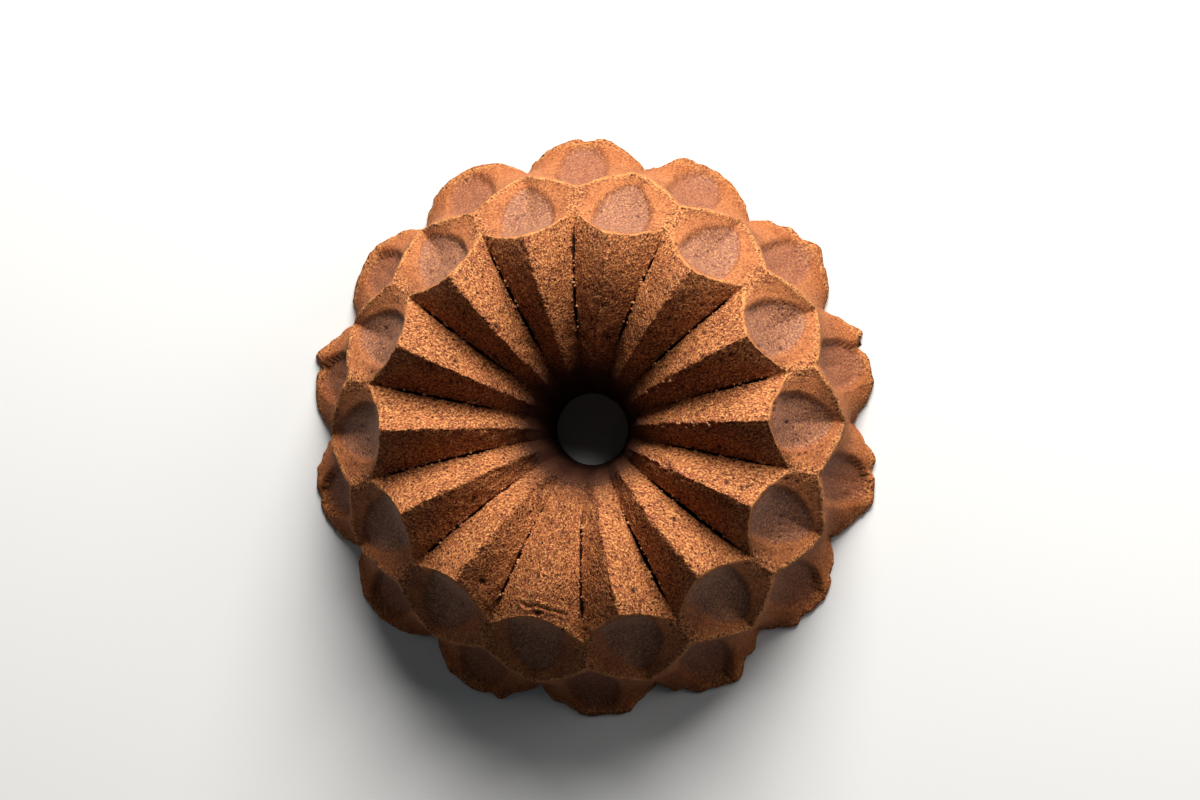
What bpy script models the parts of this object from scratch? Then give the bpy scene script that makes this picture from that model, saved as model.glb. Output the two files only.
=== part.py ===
"""A bundt cake, turned out of its fluted ring pan: one solid of baked cake.

Fourteen wedge-shaped ridges run from the centre hole to the shoulder. Each ridge ends in a
scooped dish, and the dishes narrow to a point between a lower tier of fourteen scooped petals,
which flare out at the foot. One half of a ridge is modelled as a grid, then mirrored and spun.

Lengths are in metres. The cake stands on z = 0, its hole is on the Z axis, and a ridge lies on +X.
"""

import math

import bmesh
import bpy

# The pan's layout: a ridge with its dish, and a petal on each valley between two ridges
RIDGES = 14
HALF_SECTOR = math.pi / RIDGES

# The crown: the heights of a ridge's crest and of the valley beside it
CAKE_HEIGHT = 0.082
VALLEY_HEIGHT = 0.063
TOP_RADIUS = 0.066
THROAT_RADIUS = 0.0225
THROAT_HEIGHT = 0.046
THROAT_VALLEY_HEIGHT = 0.036
CREST_FALL = 1.8
VALLEY_FALL = 2.6

# The shoulder: where a crest and a valley end at the dishes' upper edge
CREST_END_RADIUS = 0.0757
CREST_END_DROP = 0.0012
VALLEY_END_RADIUS = 0.0852
VALLEY_END_DROP = 0.0045

# The edge between a dish and the petals beside it, from the notch up to the petal's tip
NOTCH_RADIUS = 0.1045
NOTCH_HEIGHT = 0.027
PETAL_TOP_RADIUS = 0.0955
PETAL_TOP_HEIGHT = 0.0485

# The scoops, and the petal's round foot
DISH_DEPTH = 0.004
DISH_HOLLOW = 0.0016
CORNER_SOFTENING = 0.6
PETAL_DEPTH = 0.0055
FOOT_RADIUS = 0.118
FOOT_ARC_RADIUS = 0.0275

# The centre hole, which widens upwards to the throat
HOLE_RADIUS = 0.0148
HOLE_FLARE = 1.5

# How finely the half sector is divided, across it and along each zone of its section
ACROSS = (0.0, 0.25, 0.5, 0.75, 1.0)
ZONE_ROWS = {"petal": 7, "dish": 9, "crown": 8, "hole": 4, "underside": 2}


def mix(a, b, share):
    return a + (b - a) * share


def crown_height(radius, across):
    """Height of the crown: straight faces from the crest (across 0) down to the valley (across 1)."""
    if radius < TOP_RADIUS:
        share = (TOP_RADIUS - radius) / (TOP_RADIUS - THROAT_RADIUS)
        crest = mix(CAKE_HEIGHT, THROAT_HEIGHT, share**CREST_FALL)
        valley = mix(VALLEY_HEIGHT, THROAT_VALLEY_HEIGHT, share**VALLEY_FALL)
    else:
        crest_share = (radius - TOP_RADIUS) / (CREST_END_RADIUS - TOP_RADIUS)
        valley_share = (radius - TOP_RADIUS) / (VALLEY_END_RADIUS - TOP_RADIUS)
        crest = CAKE_HEIGHT - CREST_END_DROP * crest_share**2
        valley = VALLEY_HEIGHT - VALLEY_END_DROP * valley_share**1.6
    return mix(crest, valley, across)


def shoulder(across):
    """The dish's upper edge, which bows in towards the hole at the crest."""
    radius = mix(CREST_END_RADIUS, VALLEY_END_RADIUS, across**1.8)
    return radius, crown_height(radius, across)


def petal_edge(across):
    """The sharp edge between a dish and a petal, from the notch (across 0) to the petal's tip."""
    radius = mix(NOTCH_RADIUS, PETAL_TOP_RADIUS, across**1.15)
    return radius, mix(NOTCH_HEIGHT, PETAL_TOP_HEIGHT, across**0.8)


def foot(across):
    """The petal's outline on the ground: an arc of a circle, bulging outwards."""
    turn = (1 - across) * HALF_SECTOR
    centre = FOOT_RADIUS - FOOT_ARC_RADIUS
    reach = FOOT_ARC_RADIUS**2 - (centre * math.sin(turn)) ** 2
    return centre * math.cos(turn) + math.sqrt(reach), 0.0


def scooped(start, end, share, depth):
    """A point on the way from start to end, sunk by depth square to that way."""
    along_r, along_z = end[0] - start[0], end[1] - start[1]
    length = math.hypot(along_r, along_z)
    radius = mix(start[0], end[0], share) + along_z / length * depth
    height = mix(start[1], end[1], share) - along_r / length * depth
    return radius, height


def softened(across, reach):
    """Rounds off the corner that a curve has at across 0, and keeps its ends at 0 and 1."""
    return (math.hypot(across, reach) - reach) / (math.hypot(1, reach) - reach)


def dish_point(across, share):
    """On the upper dish, share 0 at its shoulder and 1 at the petals' edge."""
    top = shoulder(softened(across, CORNER_SOFTENING * share))
    bottom = petal_edge(softened(across, CORNER_SOFTENING * (1 - share)))
    bowl = math.sin(math.pi * share**1.1) * (1 - across**2)
    depth = DISH_DEPTH * bowl + DISH_HOLLOW * hollow(across, share)
    return scooped(top, bottom, share, depth)


def hollow(across, share):
    """The thumb-shaped hollow in a dish: 1 in it and 0 outside, pointed towards the notch."""
    outline = 0.6 * (1 - (share / 0.89) ** 4.7) ** 0.6 if share < 0.89 else 0.0
    inside = max(0.0, min(1.0, (outline - across) / 0.2))
    return inside * min(1.0, share / 0.3)


def petal_point(across, share):
    """On the lower petal, share 0 at its upper edge and 1 at its foot."""
    top = petal_edge(1 - softened(1 - across, CORNER_SOFTENING * share))
    depth = PETAL_DEPTH * math.sin(math.pi * share**1.35) * across**0.7
    return scooped(top, foot(across), share, depth)


def crown_point(across, share):
    """On a ridge's side, share 0 at the shoulder and 1 at the throat."""
    radius = mix(shoulder(across)[0], THROAT_RADIUS, share)
    return radius, crown_height(radius, across)


def hole_point(across, share):
    """On the wall of the centre hole, share 0 at the throat and 1 at the ground."""
    height = crown_height(THROAT_RADIUS, across) * (1 - share)
    return mix(HOLE_RADIUS, THROAT_RADIUS, (1 - share) ** HOLE_FLARE), height


def underside_point(across, share):
    """On the flat underside, share 0 at the hole and 1 at the foot."""
    return mix(HOLE_RADIUS, foot(across)[0], share), 0.0


def petal_upwards(across, share):
    return petal_point(across, 1 - share)


def dish_upwards(across, share):
    return dish_point(across, 1 - share)


SECTION = (
    (ZONE_ROWS["petal"], petal_upwards),
    (ZONE_ROWS["dish"], dish_upwards),
    (ZONE_ROWS["crown"], crown_point),
    (ZONE_ROWS["hole"], hole_point),
    (ZONE_ROWS["underside"], underside_point),
)


def section_point(across, row):
    """The point (radius, height) of one row of the closed section, which starts at the foot."""
    for rows, zone in SECTION:
        if row <= rows:
            return zone(across, row / rows)
        row -= rows
    raise ValueError("the row is past the end of the section")


def shape_half_sector(mesh):
    """Bends a flat grid of unit squares onto half a ridge, from its crest to the valley."""
    rows = sum(rows for rows, zone in SECTION)
    columns = len(ACROSS) - 1
    bmesh.ops.create_grid(mesh, x_segments=columns, y_segments=rows, size=0.5)
    for vertex in mesh.verts:
        across = ACROSS[round((vertex.co.x + 0.5) * columns)]
        radius, height = section_point(across, round((vertex.co.y + 0.5) * rows))
        turn = across * HALF_SECTOR
        vertex.co = (radius * math.cos(turn), radius * math.sin(turn), height)


def make_cake(collection):
    mesh = bmesh.new()
    shape_half_sector(mesh)
    bmesh.ops.mirror(mesh, geom=mesh.verts[:] + mesh.edges[:] + mesh.faces[:], axis="Y", merge_dist=1e-6)
    bmesh.ops.spin(
        mesh,
        geom=mesh.verts[:] + mesh.edges[:] + mesh.faces[:],
        axis=(0, 0, 1),
        cent=(0, 0, 0),
        angle=2 * math.pi * (RIDGES - 1) / RIDGES,
        steps=RIDGES - 1,
        use_duplicate=True,
    )
    bmesh.ops.remove_doubles(mesh, verts=mesh.verts, dist=1e-6)
    bmesh.ops.recalc_face_normals(mesh, faces=mesh.faces)
    data = bpy.data.meshes.new("bundt_cake")
    mesh.to_mesh(data)
    mesh.free()
    cake = bpy.data.objects.new("bundt_cake", data)
    cake.data.materials.append(crust_material())
    collection.objects.link(cake)
    return cake


def crust_material():
    """Golden brown baked crust, dull and a little rough."""
    material = bpy.data.materials.new("crust")
    material.use_nodes = True
    shader = material.node_tree.nodes["Principled BSDF"]
    shader.inputs["Base Color"].default_value = (0.28, 0.1, 0.034, 1)
    shader.inputs["Roughness"].default_value = 0.75
    shader.inputs["Metallic"].default_value = 0.0
    return material


def main():
    for obj in list(bpy.data.objects):
        bpy.data.objects.remove(obj)
    collection = bpy.data.collections.new("bundt_cake")
    bpy.context.scene.collection.children.link(collection)
    make_cake(collection)


main()
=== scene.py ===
import math
import random

import bmesh
import bpy
from mathutils import Matrix, Vector, noise


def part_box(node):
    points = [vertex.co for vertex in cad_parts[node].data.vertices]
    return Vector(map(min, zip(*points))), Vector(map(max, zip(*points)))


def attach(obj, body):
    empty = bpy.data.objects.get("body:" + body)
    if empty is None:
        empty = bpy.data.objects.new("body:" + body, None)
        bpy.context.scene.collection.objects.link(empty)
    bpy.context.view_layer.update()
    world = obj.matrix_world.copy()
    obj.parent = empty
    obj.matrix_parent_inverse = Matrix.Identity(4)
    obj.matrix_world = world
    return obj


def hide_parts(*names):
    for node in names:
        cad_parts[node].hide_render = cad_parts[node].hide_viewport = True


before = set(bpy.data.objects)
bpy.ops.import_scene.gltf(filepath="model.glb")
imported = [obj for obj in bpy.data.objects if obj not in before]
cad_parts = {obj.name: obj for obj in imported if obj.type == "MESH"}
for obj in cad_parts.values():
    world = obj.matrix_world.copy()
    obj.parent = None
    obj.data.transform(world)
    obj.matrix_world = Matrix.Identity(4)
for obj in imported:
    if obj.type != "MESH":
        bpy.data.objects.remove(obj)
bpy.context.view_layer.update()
cake_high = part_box("bundt_cake")[1]

# ---------------------------------------------------------------------------------------------
# The ring of cake. The batter fills a fluted ring pan and is turned out upside down, so every
# face but the underside is a print of the pan: wedge ridges on the crown, a scooped dish at the
# end of each ridge, and a flared petal below each valley between two ridges.
# ---------------------------------------------------------------------------------------------
CAKE_HEIGHT = cake_high.z
FOOT_RADIUS = cake_high.y
RIDGES = 14
HALF_SECTOR = math.pi / RIDGES

# The crown: a ridge's crest and the valley beside it, from the throat out to the shoulder
VALLEY_HEIGHT = 0.063
TOP_RADIUS = 0.066
THROAT_RADIUS = 0.0225
THROAT_HEIGHT = 0.046
THROAT_VALLEY_HEIGHT = 0.036
CREST_FALL = 1.8
VALLEY_FALL = 2.6
CREST_ROUNDING = 0.06
CREST_END_RADIUS = 0.0757
CREST_END_DROP = 0.0012
VALLEY_END_RADIUS = 0.0852
VALLEY_END_DROP = 0.0045
VALLEY_END_FALL = 1.6
SHOULDER_BOW = 1.8

# The edge between a dish and the petals beside it, from the notch up to the petal's tip
NOTCH_RADIUS = 0.1045
NOTCH_HEIGHT = 0.027
PETAL_TOP_RADIUS = 0.0955
PETAL_TOP_HEIGHT = 0.0485
EDGE_BOW = 1.15
EDGE_RISE = 0.8

# The scoops, and the hollows that the pan's bosses leave in them
DISH_DEPTH = 0.004
DISH_DEEPEST = 1.1
DISH_HOLLOW = 0.0026
DISH_PRINT_WIDTH = 0.6
DISH_PRINT_END = 0.89
DISH_PRINT_BLUNTNESS = 4.7
PETAL_DEPTH = 0.0055
PETAL_DEEPEST = 1.35
PETAL_BREADTH = 0.7
PETAL_HOLLOW = 0.0024
PETAL_PRINT_WIDTH = 0.45
PETAL_PRINT_END = 0.95
PETAL_PRINT_BLUNTNESS = 7
PRINT_ROUNDNESS = 0.6
CORNER_SOFTENING = 0.6

# The blunt edge of the foot, and the centre hole, which widens upwards to the throat
FOOT_ARC_RADIUS = 0.0275
LIP_HEIGHT = 0.0016
LIP_UNDERCUT = 0.0012
HOLE_RADIUS = 0.0148
HOLE_FLARE = 1.5

# How far the marks of a valley's bottom and of a crest reach, and where the crust darkens towards the
# throat, partly browned by the pan's hot tube and partly painted shade
SLIT_REACH = 0.003
CREST_REACH = 0.0022
TUBE_REACH = (0.02, 0.037)
THROAT_REACH = (THROAT_RADIUS, 0.026)

# How finely half a ridge is divided, across it and along each zone of its section, and how much
# the divisions crowd together near the crest, the valley and the shoulder
COLUMNS = 26
COLUMN_CROWDING = 0.45
CROWN_CROWDING = 1.2
ZONE_ROWS = {"lip": 2, "petal": 24, "dish": 38, "crown": 60, "hole": 9, "underside": 2}


def mix(a, b, share):
    return a + (b - a) * share


def ramp(value, low, high):
    """0 below low, 1 above high, and a smooth rise between them."""
    share = max(0.0, min(1.0, (value - low) / (high - low)))
    return share * share * (3 - 2 * share)


def crown_height(radius, across):
    """Height of the crown from a ridge's crest (across 0) down to the valley beside it (1)."""
    if radius < TOP_RADIUS:
        share = (TOP_RADIUS - radius) / (TOP_RADIUS - THROAT_RADIUS)
        crest = mix(CAKE_HEIGHT, THROAT_HEIGHT, share**CREST_FALL)
        valley = mix(VALLEY_HEIGHT, THROAT_VALLEY_HEIGHT, share**VALLEY_FALL)
    else:
        crest_share = (radius - TOP_RADIUS) / (CREST_END_RADIUS - TOP_RADIUS)
        valley_share = (radius - TOP_RADIUS) / (VALLEY_END_RADIUS - TOP_RADIUS)
        crest = CAKE_HEIGHT - CREST_END_DROP * crest_share**2
        valley = VALLEY_HEIGHT - VALLEY_END_DROP * valley_share**VALLEY_END_FALL
    rounded = math.hypot(across, CREST_ROUNDING) - CREST_ROUNDING * (1 - across)
    return mix(crest, valley, min(1.0, rounded))


def shoulder(across):
    """The dish's upper edge, which bows in towards the hole at the crest."""
    radius = mix(CREST_END_RADIUS, VALLEY_END_RADIUS, across**SHOULDER_BOW)
    return radius, crown_height(radius, across)


def petal_edge(across):
    """The edge between a dish and a petal, from the notch (across 0) to the petal's tip."""
    radius = mix(NOTCH_RADIUS, PETAL_TOP_RADIUS, across**EDGE_BOW)
    return radius, mix(NOTCH_HEIGHT, PETAL_TOP_HEIGHT, across**EDGE_RISE)


def foot(across):
    """The petal's outline at its foot: an arc of a circle, bulging outwards."""
    turn = (1 - across) * HALF_SECTOR
    centre = FOOT_RADIUS - FOOT_ARC_RADIUS
    reach = FOOT_ARC_RADIUS**2 - (centre * math.sin(turn)) ** 2
    return centre * math.cos(turn) + math.sqrt(reach), LIP_HEIGHT


def scooped(start, end, share, depth):
    """A point on the way from start to end, sunk by depth square to that way."""
    along_r, along_z = end[0] - start[0], end[1] - start[1]
    length = math.hypot(along_r, along_z)
    radius = mix(start[0], end[0], share) + along_z / length * depth
    height = mix(start[1], end[1], share) - along_r / length * depth
    return radius, height


def softened(across, reach):
    """Rounds off the corner that a curve has at across 0, and keeps its ends at 0 and 1."""
    return (math.hypot(across, reach) - reach) / (math.hypot(1, reach) - reach)


def arch(down, width, end, bluntness):
    """How far a boss's outline reaches to each side at down, and -1 beyond its end."""
    return width * (1 - (down / end) ** bluntness) ** PRINT_ROUNDNESS if down < end else -1


def dish_print(across, down):
    """The smooth print of the pan's boss in a dish: 1 in it, and an arch that points at the notch."""
    outline = arch(down, DISH_PRINT_WIDTH, DISH_PRINT_END, DISH_PRINT_BLUNTNESS)
    return ramp(outline - across, -0.02, 0.05)


def petal_print(across, down):
    """The same on a petal, where the arch points outwards and ends just inside the foot."""
    outline = arch(down, PETAL_PRINT_WIDTH, PETAL_PRINT_END, PETAL_PRINT_BLUNTNESS)
    return ramp(outline - (1 - across), -0.01, 0.04) * ramp(down, 0.08, 0.35)


def lip_point(across, share):
    """Up the blunt edge of the foot, share 0 on the ground."""
    radius, height = foot(across)
    return radius - LIP_UNDERCUT * (1 - share) ** 2, height * share


def petal_point(across, share):
    """Up the petal, share 0 at the foot and 1 at the edge of the dishes."""
    down = 1 - share
    top = petal_edge(1 - softened(1 - across, CORNER_SOFTENING * down))
    depth = PETAL_DEPTH * math.sin(math.pi * down**PETAL_DEEPEST) * across**PETAL_BREADTH
    depth += PETAL_HOLLOW * petal_print(across, down)
    return scooped(top, foot(across), down, depth)


def dish_point(across, share):
    """Up the dish, share 0 at the petals and 1 at the shoulder."""
    down = 1 - share
    top = shoulder(softened(across, CORNER_SOFTENING * down))
    bottom = petal_edge(softened(across, CORNER_SOFTENING * share))
    bowl = math.sin(math.pi * down**DISH_DEEPEST) * (1 - across**2)
    hollow = DISH_HOLLOW * min(1.0, down / 0.35) * (1 - 0.7 * ramp(down, 0.45, 0.9))
    depth = DISH_DEPTH * bowl + hollow * dish_print(across, down)
    return scooped(top, bottom, down, depth)


def crown_point(across, share):
    """In along a ridge's side, share 0 at the shoulder and 1 at the throat."""
    radius = mix(shoulder(across)[0], THROAT_RADIUS, share**CROWN_CROWDING)
    return radius, crown_height(radius, across)


def hole_point(across, share):
    """Down the wall of the centre hole."""
    height = crown_height(THROAT_RADIUS, across) * (1 - share)
    return mix(HOLE_RADIUS, THROAT_RADIUS, (1 - share) ** HOLE_FLARE), height


def underside_point(across, share):
    """Out along the flat underside, back to the foot."""
    return mix(HOLE_RADIUS, lip_point(across, 0)[0], share), 0.0


ZONES = (
    ("lip", lip_point),
    ("petal", petal_point),
    ("dish", dish_point),
    ("crown", crown_point),
    ("hole", hole_point),
    ("underside", underside_point),
)


def zone_of(row):
    """The zone of one row of the closed section, its point function, and the share along it."""
    for name, point in ZONES:
        if row <= ZONE_ROWS[name]:
            return name, point, row / ZONE_ROWS[name]
        row -= ZONE_ROWS[name]
    raise ValueError("the row is past the end of the section")


def masks(name, across, share, radius):
    """What the crust is like at a place, as masks from 0 to 1.

    grain: how coarse it is. print and skirt: on the smooth prints in the dishes and petals. edge: near
    the sharp edge round a dish or petal, where the paler colour is partly crumbly crust and partly a
    painted highlight. valley and crest: near a valley's bottom or a crest. rim: near the foot, where the
    crust is thin. tube: towards the throat and down the hole, where the darker colour is partly browning
    by the pan's hot tube and partly painted shade.
    """
    values = dict.fromkeys(("print", "skirt", "edge", "valley", "crest", "rim", "tube"), 0.0)
    values["grain"] = 1.0
    down = 1 - share
    if name == "crown":
        values["edge"] = 1 - ramp(share, 0.0, 0.035)
        values["valley"] = max(0.0, 1 - (1 - across) * radius * HALF_SECTOR / SLIT_REACH)
        values["crest"] = 1 - ramp(across * radius * HALF_SECTOR, 0.0, CREST_REACH)
        # Darker towards the throat: partly browning by the hot tube, partly painted shade in the funnel
        near_tube, at_throat = 1 - ramp(radius, *TUBE_REACH), 1 - ramp(radius, *THROAT_REACH)
        values["tube"] = 0.75 * near_tube + 0.25 * at_throat
    elif name == "dish":
        values["print"] = dish_print(across, down) * ramp(down, 0.04, 0.15)
        coarse = max(ramp(across, 0.6, 0.95), ramp(share, 0.15, 0.0), 0.4)
        values["grain"] = coarse * (1 - values["print"]) + 0.55 * values["print"]
        values["edge"] = max(1 - ramp(down, 0.0, 0.07), 0.5 * (1 - ramp(share, 0.0, 0.05)))
    elif name == "petal":
        values["skirt"] = petal_print(across, down)
        values["grain"] = 0.35 + 0.5 * max(1 - ramp(down, 0.0, 0.14), ramp(down, 0.88, 1.0))
        values["edge"] = 1 - ramp(down, 0.0, 0.07) + 0.8 * ramp(down, 0.92, 1.0)
        values["rim"] = ramp(down, 0.6, 1.0) * (1 - values["skirt"])
    elif name == "lip":
        values["rim"] = 1.0
    elif name == "hole":
        values["grain"] = 0.3
        # The hole's wall is painted nearly black all over: painted shade down the hole
        values["tube"] = 1.0
    return values


def spread(share):
    """Columns of the grid, closer together near the crest and the valley."""
    return share - COLUMN_CROWDING * math.sin(2 * math.pi * share) / (2 * math.pi)


cake_mesh = bmesh.new()
layers = {name: cake_mesh.verts.layers.float.new(name) for name in masks("lip", 0.0, 0.0, 0.0)}
rows = sum(ZONE_ROWS.values())
bmesh.ops.create_grid(cake_mesh, x_segments=COLUMNS, y_segments=rows, size=0.5)
for vertex in cake_mesh.verts:
    across = spread(round((vertex.co.x + 0.5) * COLUMNS) / COLUMNS)
    zone, point, share = zone_of(round((vertex.co.y + 0.5) * rows))
    radius, height = point(across, share)
    for name, value in masks(zone, across, share, radius).items():
        vertex[layers[name]] = value
    turn = across * HALF_SECTOR
    vertex.co = (radius * math.cos(turn), radius * math.sin(turn), height)
half_ridge = cake_mesh.verts[:] + cake_mesh.edges[:] + cake_mesh.faces[:]
bmesh.ops.mirror(cake_mesh, geom=half_ridge, axis="Y", merge_dist=1e-6)
whole_ridge = cake_mesh.verts[:] + cake_mesh.edges[:] + cake_mesh.faces[:]
bmesh.ops.spin(
    cake_mesh,
    geom=whole_ridge,
    axis=(0, 0, 1),
    cent=(0, 0, 0),
    angle=2 * math.pi * (RIDGES - 1) / RIDGES,
    steps=RIDGES - 1,
    use_duplicate=True,
)
bmesh.ops.remove_doubles(cake_mesh, verts=cake_mesh.verts, dist=1e-6)
bmesh.ops.recalc_face_normals(cake_mesh, faces=cake_mesh.faces)
cake_mesh.normal_update()


# Baking swells and pits the surface. The coarse crust is lumpy and the pan's prints are nearly smooth. A
# thin slit with crumbly edges splits the valleys, painted nearly black inside as painted shade, and some
# crests lost strips of crust. The foot is ragged where batter met the pan's rim, and it sags out a
# little on one side.
SAG = 0.0027
SAG_ANGLE = 103.0
SAG_NARROWNESS = 6
SAG_TOP = 0.045
SAG_RADII = (0.088, 0.1)

# The slit in a valley, which fades out at both ends
SLIT_DEPTH = 0.003
SLIT_WIDTH = 0.00095
SLIT_OPENS = (0.033, 0.041)
SLIT_CLOSES = (0.073, 0.079)
SLIT_CRUMB_HEIGHT = 0.0003

# Where the underside, the crown and the rough crust round the throat are
FLAT_UNDERSIDE = 0.0001
CROWN_FLOOR = 0.045
CROWN_END = 0.092
THROAT_FLOOR = 0.03
THROAT_ROUGH = (0.03, 0.055)

# Small random pits: their number, half-widths, depths as a share of them, and places
PIT_COUNT = 240
PIT_WIDTHS = (0.0005, 0.0011)
PIT_DEPTH_SHARES = (0.6, 1.0)
PIT_RADII = (0.036, 0.09)

# The torn crests, the crack with its raised lips, and the bites and nubs all round the foot
TEAR_DEPTH = 0.0007
TORN_CRUMB_SHARE = 0.25
CRACK_DEPTH = 0.0007
CRACK_HALF_WIDTH = 0.0006
CRACK_LIP_HEIGHT = 0.0004
CRACK_LIP_DISTANCE = 0.0014
CRACK_LIP_WIDTH = 0.0012
CRACK_SPAN = 0.02
BITE_DEPTH = 0.0009
NUB_REACH = 0.0007
NUB_INSET = 0.001

# Height, size and layer of the lumps of each kind: a layer is a fresh pattern of lumps
SWELLS = ((0.0006, 0.022, 0), (0.0003, 0.009, 1))
GRAINS = ((0.0003, 0.0034, 2), (0.00026, 0.0021, 0))
EDGE_LUMPS = ((0.0005, 0.0028, 7),)
CREST_LUMPS = ((0.0006, 0.0024, 9),)
THROAT_LUMPS = ((0.0006, 0.0036, 10),)
TORN_LUMPS = ((0.0014, 0.0021, 0),)
CREST_WAVER = ((0.0005, 0.006, 11), (0.0004, 0.0026, 0))
EDGE_WAVER = ((0.0006, 0.0038, 12),)
FOOT_TATTERS = ((0.0006, 0.013, 3), (0.00035, 0.003, 0))

# Angle around the cake, half-width along the edge and reach outwards, of each nub and bite
FOOT_DAMAGE = (
    (18.6, 0.003, 0.0022),
    (15.8, 0.0025, -0.003),
    (8.0, 0.002, 0.001),
    (353.0, 0.0025, 0.0014),
    (350.4, 0.002, -0.0016),
    (343.8, 0.0035, 0.0016),
    (37.1, 0.003, 0.002),
    (41.0, 0.002, -0.0016),
    (44.0, 0.002, 0.0012),
    (69.9, 0.003, 0.0013),
    (163.4, 0.003, 0.0022),
    (166.0, 0.002, -0.0018),
    (214.0, 0.003, 0.0012),
    (233.0, 0.003, -0.0025),
    (237.4, 0.0025, 0.0014),
    (249.9, 0.0035, 0.0022),
    (253.5, 0.0025, -0.002),
    (262.1, 0.003, -0.0016),
    (275.8, 0.0035, 0.0022),
    (288.7, 0.0025, -0.0016),
    (299.2, 0.004, 0.0022),
    (303.0, 0.003, -0.003),
    (314.4, 0.003, 0.0018),
    (328.0, 0.0025, -0.0014),
)

# Angle, radius, half-width and depth of pits where big bubbles burst on the crown
PITS = (
    (238.1, 0.0706, 0.0017, 0.0016),
    (257.3, 0.0522, 0.0013, 0.0012),
    (338.6, 0.0696, 0.0012, 0.0012),
    (338.8, 0.063, 0.0012, 0.0012),
    (315.7, 0.0529, 0.0013, 0.0012),
    (288.8, 0.0679, 0.0014, 0.0014),
    (258.3, 0.0736, 0.0015, 0.0016),
)

# Angle, inner and outer radius and half-width of strips torn off along a crest
TORN_CRESTS = (
    (334.0, 0.031, 0.051, 0.0034),
    (358.2, 0.031, 0.057, 0.0034),
    (23.0, 0.031, 0.046, 0.0028),
    (309.0, 0.043, 0.049, 0.003),
    (128.0, 0.047, 0.053, 0.003),
)

# The crack across one ridge, as points of angle and radius
CRACK = (
    (252.4, 0.0715),
    (255.0, 0.0722),
    (257.6, 0.0706),
    (260.4, 0.0719),
    (263.4, 0.0724),
    (265.6, 0.0735),
)


def lumps(place, size, layer=0):
    """Random lumps of one size, between about -1 and 1. Each layer is a fresh pattern of them."""
    return noise.noise((place + Vector((layer, 0, 0))) / size)


def relief(place, kinds):
    """The heights of several kinds of lumps at a place, added up."""
    return sum(height * lumps(place, size, layer) for height, size, layer in kinds)


def on_ring(angle, radius):
    """The spot at an angle in degrees, and at a radius from the middle of the hole."""
    return Vector((radius * math.cos(math.radians(angle)), radius * math.sin(math.radians(angle))))


def bump_of(distance, reach):
    """A round bump: 1 at its middle, 0 at its reach and beyond."""
    return ramp(reach - distance, 0.0, reach)


def line_distance(spot, start, end):
    """How far a spot is from the straight line between start and end."""
    along = max(0.0, min(1.0, (spot - start).dot(end - start) / (end - start).length_squared))
    return (spot - start.lerp(end, along)).length


random.seed(5)
pits = [(on_ring(angle, radius), width, depth) for angle, radius, width, depth in PITS]
for number in range(PIT_COUNT):
    spot = on_ring(random.uniform(0, 360), random.uniform(*PIT_RADII))
    width = random.uniform(*PIT_WIDTHS)
    pits.append((spot, width, width * random.uniform(*PIT_DEPTH_SHARES)))
nubs = [
    (on_ring(angle, FOOT_RADIUS - NUB_INSET), width, reach)
    for angle, width, reach in FOOT_DAMAGE
]
tears = [
    (on_ring(angle, inner), on_ring(angle, outer), width)
    for angle, inner, outer, width in TORN_CRESTS
]
crack = [on_ring(angle, radius) for angle, radius in CRACK]

crumb_spots = []
for name in ("pit", "slit", "torn"):
    layers[name] = cake_mesh.verts.layers.float.new(name)


def mark(vertex, name, value):
    """Raises one of a vertex's masks to the value."""
    vertex[layers[name]] = max(vertex[layers[name]], value)


def crown_damage(vertex, place, spot):
    """How far pits, torn strips and the crack sink the crown at a place. It marks them too."""
    sink = 0.0
    for middle, width, depth in pits:
        if abs(middle.x - spot.x) < width and abs(middle.y - spot.y) < width:
            shape = bump_of((spot - middle).length, width)
            sink += depth * shape
            # Pits are painted dark as well as sunk: painted shade in the hollow
            mark(vertex, "pit", min(1.0, 1.8 * shape))
    for inner, outer, width in tears:
        shape = bump_of(line_distance(spot, inner, outer), width)
        if shape > 0:
            torn = ramp(0.8 * lumps(place, 0.0035) + shape, 0.35, 0.6)
            sink += torn * (TEAR_DEPTH + relief(place, TORN_LUMPS))
            mark(vertex, "torn", torn)
    if (spot - crack[2]).length < CRACK_SPAN:
        away = min(line_distance(spot, start, end) for start, end in zip(crack, crack[1:]))
        sink += CRACK_DEPTH * bump_of(away, CRACK_HALF_WIDTH)
        sink -= CRACK_LIP_HEIGHT * bump_of(abs(away - CRACK_LIP_DISTANCE), CRACK_LIP_WIDTH)
        # The crack is painted dark along its line: painted shade in it
        mark(vertex, "pit", 0.8 * bump_of(away, 0.0005))
    return sink


def split_valley(vertex, place, spot):
    """Opens the slit along a valley's bottom and raises crumbs along its edges."""
    distance = (1 - vertex[layers["valley"]]) * SLIT_REACH
    if distance >= SLIT_REACH:
        return
    half_width = SLIT_WIDTH / 2 * (1 + 0.35 * lumps(place, 0.008, 4))
    open_here = ramp(spot.length, *SLIT_OPENS) * (1 - ramp(spot.length, *SLIT_CLOSES))
    split = ramp(half_width * 1.15 - distance, 0.0, half_width * 0.6) * open_here
    vertex.co.z -= SLIT_DEPTH * split
    # The slit mask paints shade into the slit: nearly black, like the shadow down in it
    vertex[layers["slit"]] = split
    crumbly = ramp(lumps(place, 0.0015, 8), 0.0, 0.3) * open_here
    crumbly *= ramp(distance, half_width * 0.8, half_width * 1.3)
    crumbly *= 1 - ramp(distance, half_width * 1.5, half_width * 3.0)
    vertex.co += vertex.normal * SLIT_CRUMB_HEIGHT * crumbly
    if crumbly > 0.5:
        crumb_spots.append(vertex.co.copy())


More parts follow.
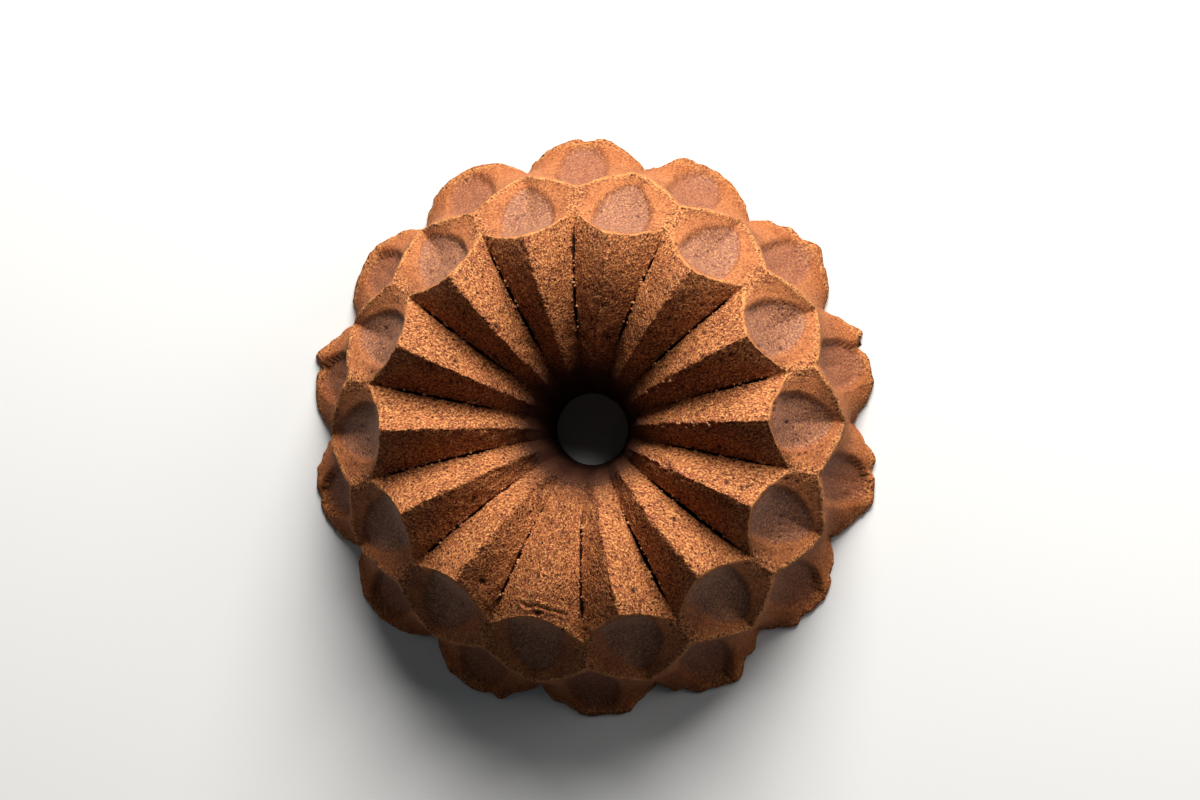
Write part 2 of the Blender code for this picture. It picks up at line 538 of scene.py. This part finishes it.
def tatters(place, spot):
    """How far the ragged foot reaches out at a place, by its tatters, bites and nubs."""
    out = relief(place, FOOT_TATTERS)
    out -= BITE_DEPTH * ramp(lumps(place, 0.007, 5), 0.25, 0.5)
    out += NUB_REACH * ramp(lumps(place, 0.005, 6), 0.3, 0.5)
    for middle, width, reach in nubs:
        if abs(middle.x - spot.x) < 2 * width and abs(middle.y - spot.y) < 2 * width:
            out += reach * bump_of((spot - middle).length, 2 * width)
    return out


for vertex in cake_mesh.verts:
    place = vertex.co.copy()
    spot = Vector((place.x, place.y))
    outwards = Vector((place.x, place.y, 0)).normalized()
    grain, edge, crest, rim = (vertex[layers[name]] for name in ("grain", "edge", "crest", "rim"))
    rough = relief(place, GRAINS) + edge * relief(place, EDGE_LUMPS)
    rough += crest * relief(place, CREST_LUMPS)
    if place.z > THROAT_FLOOR:
        rough += (1 - ramp(spot.length, *THROAT_ROUGH)) * relief(place, THROAT_LUMPS)
    on_crown = place.z > CROWN_FLOOR and spot.length < CROWN_END
    sink = crown_damage(vertex, place, spot) if on_crown else 0.0
    if place.z > FLAT_UNDERSIDE:
        sideways = Vector((-place.y, place.x, 0)).normalized() * crest * relief(place, CREST_WAVER)
        vertex.co += vertex.normal * (relief(place, SWELLS) + rough * grain - sink) + sideways
    split_valley(vertex, place, spot)
    vertex.co += outwards * edge * relief(place, EDGE_WAVER)
    low_down = (1 - ramp(place.z, 0.0, SAG_TOP)) * ramp(spot.length, *SAG_RADII)
    towards_sag = max(0.0, spot.normalized().dot(on_ring(SAG_ANGLE, 1)))
    vertex.co += outwards * SAG * low_down * towards_sag**SAG_NARROWNESS
    if rim > 0:
        vertex.co += outwards * tatters(place, spot) * rim**3
    if vertex[layers["torn"]] > 0.5 and random.random() < TORN_CRUMB_SHARE:
        crumb_spots.append(vertex.co.copy())

cake_data = bpy.data.meshes.new("baked_cake")
cake_mesh.to_mesh(cake_data)
cake_mesh.free()
cake_data.shade_smooth()
cake = bpy.data.objects.new("baked_cake", cake_data)
bpy.context.scene.collection.objects.link(cake)


def wire(tree, source, target):
    tree.links.new(source, target)


def add(tree, kind, **settings):
    """A node with its properties and, for names that are sockets, its values set."""
    node = tree.nodes.new(kind)
    for name, value in settings.items():
        if hasattr(node, name):
            setattr(node, name, value)
        else:
            node.inputs[name].default_value = value
    return node


def step(tree, source, low, high):
    """0 where the source is at low, 1 where it is at high, smooth between."""
    node = add(tree, "ShaderNodeMapRange", interpolation_type="SMOOTHSTEP")
    node.inputs["From Min"].default_value = low
    node.inputs["From Max"].default_value = high
    wire(tree, source, node.inputs["Value"])
    return node.outputs["Result"]


def combine(tree, operation, first, second):
    """One operation on two numbers, each a value or a socket."""
    node = add(tree, "ShaderNodeMath", operation=operation)
    for socket, value in zip(node.inputs, (first, second)):
        if isinstance(value, bpy.types.NodeSocket):
            wire(tree, value, socket)
        else:
            socket.default_value = value
    return node.outputs[0]


def times(tree, first, second):
    return combine(tree, "MULTIPLY", first, second)


def cloudy(tree, place, scale, detail, roughness):
    """A cloudy pattern of light and dark, as a number."""
    node = add(tree, "ShaderNodeTexNoise", Detail=detail, Roughness=roughness)
    wire(tree, place, node.inputs["Vector"])
    wire(tree, scale, node.inputs["Scale"])
    return node.outputs["Fac"]


def bubbles(tree, place, scale, widest, share_open):
    """Round pores, one in some of the cells of a scattered grid."""
    cells = add(tree, "ShaderNodeTexVoronoi", feature="F1")
    wire(tree, place, cells.inputs["Vector"])
    wire(tree, scale, cells.inputs["Scale"])
    round_pore = step(tree, cells.outputs["Distance"], widest, widest * 0.45)
    closed = 0.65 - share_open * 0.4
    is_open = step(tree, cells.outputs["Color"], closed, closed + 0.05)
    return times(tree, round_pore, is_open)


# The crust's texture, as a node group: fine pores, larger burst bubbles, crumbly bright flecks,
# broad mottling, and the height of it all
crumb = bpy.data.node_groups.new("burst_crumb", "ShaderNodeTree")
crumb.interface.new_socket("Place", in_out="INPUT", socket_type="NodeSocketVector")
crumb.interface.new_socket("Size", in_out="INPUT", socket_type="NodeSocketFloat")
where, size = add(crumb, "NodeGroupInput").outputs[:2]
fine = cloudy(crumb, where, times(crumb, size, 1.1), 1.5, 0.6)
broad = cloudy(crumb, where, times(crumb, size, 0.3), 3.0, 0.7)
big = bubbles(crumb, where, times(crumb, size, 0.42), 0.3, 0.35)
bright = step(crumb, fine, 0.53, 0.63)
mottle = step(crumb, broad, 0.32, 0.68)
raised = combine(crumb, "ADD", fine, times(crumb, mottle, 0.3))
results = {
    "Pores": step(crumb, fine, 0.47, 0.37),
    "Bubbles": big,
    "Flecks": times(crumb, bright, combine(crumb, "SUBTRACT", 1.0, big)),
    "Mottle": mottle,
    "Height": combine(crumb, "SUBTRACT", raised, times(crumb, big, 0.7)),
}
for output in results:
    crumb.interface.new_socket(output, in_out="OUTPUT", socket_type="NodeSocketFloat")
group_out = add(crumb, "NodeGroupOutput")
for output, result in results.items():
    wire(crumb, result, group_out.inputs[output])


def mask(tree, name):
    """One of the mesh's masks, as the material reads it."""
    return add(tree, "ShaderNodeAttribute", attribute_name=name).outputs["Fac"]


def blend(tree, share, first, second):
    """Mixes two colours, each a colour value or a socket, by a number or a socket."""
    node = tree.nodes.new("ShaderNodeMix")
    node.data_type = "RGBA"
    sockets = {s.identifier: s for s in node.inputs}
    for identifier, value in (("Factor_Float", share), ("A_Color", first), ("B_Color", second)):
        if isinstance(value, bpy.types.NodeSocket):
            wire(tree, value, sockets[identifier])
        else:
            sockets[identifier].default_value = value
    return next(s for s in node.outputs if s.identifier == "Result_Color")


def crease_shade_and_browning(tree, name):
    """The soft border of one of the prints, most where its mask is half way: painted shade in the crease
    there, and partly a browned line.
    """
    inside = mask(tree, name)
    return times(tree, inside, combine(tree, "SUBTRACT", 1.0, inside))


# The crust's colours, where it is golden, browned, burst open or torn; the paler edges carry a painted
# highlight, and the near-black colours paint shade into pits, slits, the funnel and the hole
GOLD = (0.3, 0.106, 0.038, 1)
BROWNED = (0.175, 0.055, 0.02, 1)
PORE_BROWN_AND_PIT_SHADE = (0.035, 0.01, 0.005, 1)
FLECK = (0.46, 0.235, 0.085, 1)
PLUM_BROWN = (0.19, 0.082, 0.05, 1)
SKIRT_BROWN = (0.185, 0.067, 0.035, 1)
EDGE_CRUMB_AND_HIGHLIGHT = (0.5, 0.23, 0.08, 1)
CREST_BROWN = (0.15, 0.04, 0.015, 1)
RIM_ORANGE = (0.24, 0.075, 0.023, 1)
TORN_CRUMB = (0.27, 0.08, 0.035, 1)
SLIT_SHADE = (0.018, 0.006, 0.004, 1)
TUBE_BROWNING_AND_SHADE = (0.02, 0.006, 0.004, 1)

PORES_PER_METRE = 1000
COARSE_ROUGHNESS = 0.85
PRINT_ROUGHNESS = 0.6

crust = bpy.data.materials.new("baked_crust")
crust.use_nodes = True
tree = crust.node_tree
shader = tree.nodes["Principled BSDF"]
shader.inputs["Specular IOR Level"].default_value = 0.25
place = add(tree, "ShaderNodeTexCoord").outputs["Object"]
texture = add(tree, "ShaderNodeGroup", node_tree=crumb)
texture.inputs["Size"].default_value = PORES_PER_METRE
wire(tree, place, texture.inputs["Place"])
grain = mask(tree, "grain")
patches = add(tree, "ShaderNodeTexNoise", Scale=70.0, Detail=3.0)
wire(tree, place, patches.inputs["Vector"])
browned = times(tree, step(tree, patches.outputs["Fac"], 0.42, 0.7), 0.6)
mottled = texture.outputs["Mottle"]
broken = combine(tree, "ADD", times(tree, mottled, 0.8), 0.1)
porous = combine(tree, "ADD", times(tree, grain, 0.62), 0.08)

# The coats of colour in the order they cover one another: how much each one covers, its colour
COATS = (
    (combine(tree, "ADD", browned, times(tree, mottled, 0.35)), BROWNED),
    (mask(tree, "rim"), RIM_ORANGE),
    (times(tree, mask(tree, "print"), 0.85), PLUM_BROWN),
    (times(tree, mask(tree, "skirt"), 0.85), SKIRT_BROWN),
    # Darker round the prints' borders: painted shade in the crease, partly browning
    (times(tree, crease_shade_and_browning(tree, "print"), 2.2), BROWNED),
    (times(tree, crease_shade_and_browning(tree, "skirt"), 2.2), BROWNED),
    # Paler along the edges round the dishes, petals and shoulder: partly crumbly crust, partly a painted
    # highlight
    (times(tree, mask(tree, "edge"), broken), EDGE_CRUMB_AND_HIGHLIGHT),
    (times(tree, mask(tree, "crest"), times(tree, mottled, 0.7)), CREST_BROWN),
    (mask(tree, "torn"), TORN_CRUMB),
    (times(tree, texture.outputs["Flecks"], times(tree, grain, 0.8)), FLECK),
    (times(tree, texture.outputs["Pores"], porous), PORE_BROWN_AND_PIT_SHADE),
    (times(tree, texture.outputs["Bubbles"], times(tree, grain, 0.85)), PORE_BROWN_AND_PIT_SHADE),
    # Painted shade in the pits and along the crack
    (times(tree, mask(tree, "pit"), 0.9), PORE_BROWN_AND_PIT_SHADE),
    # Darker towards the throat and down the hole: browning and painted shade
    (times(tree, mask(tree, "tube"), 0.85), TUBE_BROWNING_AND_SHADE),
    # Painted shade down in the valley slits
    (mask(tree, "slit"), SLIT_SHADE),
)
colour = GOLD
for share, tint in COATS:
    colour = blend(tree, share, colour, tint)
wire(tree, colour, shader.inputs["Base Color"])
roughness = add(tree, "ShaderNodeMapRange")
roughness.inputs["To Min"].default_value = COARSE_ROUGHNESS
roughness.inputs["To Max"].default_value = PRINT_ROUGHNESS
wire(tree, combine(tree, "MAXIMUM", mask(tree, "print"), mask(tree, "skirt")), roughness.inputs["Value"])
wire(tree, roughness.outputs["Result"], shader.inputs["Roughness"])
bump = add(tree, "ShaderNodeBump", Distance=0.0007, Strength=0.9)
bumpy = combine(tree, "ADD", times(tree, grain, 0.8), 0.2)
wire(tree, times(tree, texture.outputs["Height"], bumpy), bump.inputs["Height"])
wire(tree, bump.outputs["Normal"], shader.inputs["Normal"])
cake_data.materials.append(crust)

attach(cake, "root")
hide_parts("bundt_cake")

# ---------------------------------------------------------------------------------------------
# The crumbs. Turning the cake out of its pan breaks some of the crust, and crumbs of the paler
# inside cling along the slits and in the torn patches of the crests.
# ---------------------------------------------------------------------------------------------
CRUMB_COUNT = 480
CRUMB_SMALLEST = 0.00028
CRUMB_LARGEST = 0.0008
CRUMB_ROUGHNESS = 0.00016
CRUMB_LUMP = 0.0004
CRUMB_PALE = (0.42, 0.22, 0.105, 1)
CRUMB_BROWN = (0.2, 0.07, 0.03, 1)

random.seed(11)
crumbs_mesh = bmesh.new()
for spot in random.sample(crumb_spots, CRUMB_COUNT):
    radius = CRUMB_SMALLEST + (CRUMB_LARGEST - CRUMB_SMALLEST) * random.random() ** 2
    turn = Matrix.Rotation(random.uniform(0, math.pi), 4, Vector((random.random(), random.random(), 1)))
    flat = Matrix.Diagonal((1.0, random.uniform(0.6, 1.0), random.uniform(0.5, 0.9), 1.0))
    placed = Matrix.Translation(spot) @ turn @ flat
    bmesh.ops.create_icosphere(crumbs_mesh, subdivisions=2, radius=radius, matrix=placed)
for vertex in crumbs_mesh.verts:
    vertex.co += vertex.normal * CRUMB_ROUGHNESS * lumps(vertex.co, CRUMB_LUMP)
crumbs_data = bpy.data.meshes.new("clinging_crumbs")
crumbs_mesh.to_mesh(crumbs_data)
crumbs_mesh.free()
crumbs_data.shade_smooth()
crumbs = bpy.data.objects.new("clinging_crumbs", crumbs_data)
bpy.context.scene.collection.objects.link(crumbs)

crumb_look = bpy.data.materials.new("cake_crumb")
crumb_look.use_nodes = True
crumb_tree = crumb_look.node_tree
crumb_shader = crumb_tree.nodes["Principled BSDF"]
crumb_shader.inputs["Roughness"].default_value = 0.9
crumb_place = add(crumb_tree, "ShaderNodeTexCoord").outputs["Object"]
crumb_mix = add(crumb_tree, "ShaderNodeTexNoise", Scale=400.0)
wire(crumb_tree, crumb_place, crumb_mix.inputs["Vector"])
paler = step(crumb_tree, crumb_mix.outputs["Fac"], 0.4, 0.65)
crumb_colour = blend(crumb_tree, paler, CRUMB_BROWN, CRUMB_PALE)
wire(crumb_tree, crumb_colour, crumb_shader.inputs["Base Color"])
crumbs_data.materials.append(crumb_look)

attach(crumbs, "root")

# ---------------------------------------------------------------------------------------------
# The stage: a plain pale floor under the cake, and a large soft light on the far side like a
# window. Three dim lights stand in for the pale walls around it, and the room is nearly dark.
# ---------------------------------------------------------------------------------------------
FLOOR_SIDE = 6.0
FLOOR_GREY = (0.56, 0.557, 0.55, 1)
WINDOW_WHITE = (1.0, 0.985, 0.96)
WARM_WALL = (1.0, 0.97, 0.93)
COOL_WALL = (0.78, 0.9, 1.0)
ROOM_BLUE = (0.78, 0.88, 1.0, 1)
ROOM_STRENGTH = 0.045

floor_mesh = bmesh.new()
bmesh.ops.create_grid(floor_mesh, x_segments=1, y_segments=1, size=FLOOR_SIDE / 2)
floor_data = bpy.data.meshes.new("floor")
floor_mesh.to_mesh(floor_data)
floor_mesh.free()
floor = bpy.data.objects.new("floor", floor_data)
bpy.context.scene.collection.objects.link(floor)
floor_paint = bpy.data.materials.new("floor_paint")
floor_paint.use_nodes = True
floor_shader = floor_paint.node_tree.nodes["Principled BSDF"]
floor_shader.inputs["Base Color"].default_value = FLOOR_GREY
floor_shader.inputs["Roughness"].default_value = 0.7
floor_data.materials.append(floor_paint)


def soft_light(name, place, width, power, tint):
    """A round light, aimed at the floor under the middle of the cake."""
    lamp = bpy.data.lights.new(name, "AREA")
    lamp.shape = "DISK"
    lamp.size = width
    lamp.energy = power
    lamp.color = tint
    holder = bpy.data.objects.new(name, lamp)
    holder.location = place
    holder.rotation_euler = (-Vector(place)).to_track_quat("-Z", "Y").to_euler()
    bpy.context.scene.collection.objects.link(holder)


soft_light("window", (0.302, 1.419, 0.979), 1.27, 80, WINDOW_WHITE)
soft_light("pale_wall_right", (1.23, 0.45, 0.92), 0.8, 5, WARM_WALL)
soft_light("pale_wall_left", (-1.23, 0.45, 0.92), 0.8, 1.5, WARM_WALL)
soft_light("pale_wall_near", (0.1, -1.3, 1.0), 1.0, 1.1, COOL_WALL)
room = bpy.data.worlds.new("room")
room.use_nodes = True
background = room.node_tree.nodes["Background"]
background.inputs["Color"].default_value = ROOM_BLUE
background.inputs["Strength"].default_value = ROOM_STRENGTH
bpy.context.scene.world = room
bpy.context.scene.view_settings.view_transform = "Standard"
bpy.context.scene.view_settings.look = "Medium High Contrast"

# ---------------------------------------------------------------------------------------------
# The camera looks down on the cake from almost straight above, a little to the +X side.
# ---------------------------------------------------------------------------------------------
CAMERA_PLACE = Vector((0.1136, -0.025, 1.18))
CAMERA_AIM = Vector((0.0033, 0.012, 0.0))
CAMERA_ROLL = math.radians(1.3)

lens = bpy.data.cameras.new("camera")
lens.lens = 86
lens.sensor_width = 36
camera = bpy.data.objects.new("camera", lens)
back = (CAMERA_PLACE - CAMERA_AIM).normalized()
right = Vector((0, 1, 0)).cross(back).normalized()
up = back.cross(right)
turned = Matrix((right, up, back)).transposed().to_4x4()
camera.matrix_world = Matrix.Translation(CAMERA_PLACE) @ turned @ Matrix.Rotation(-CAMERA_ROLL, 4, "Z")
bpy.context.scene.collection.objects.link(camera)
bpy.context.scene.camera = camera
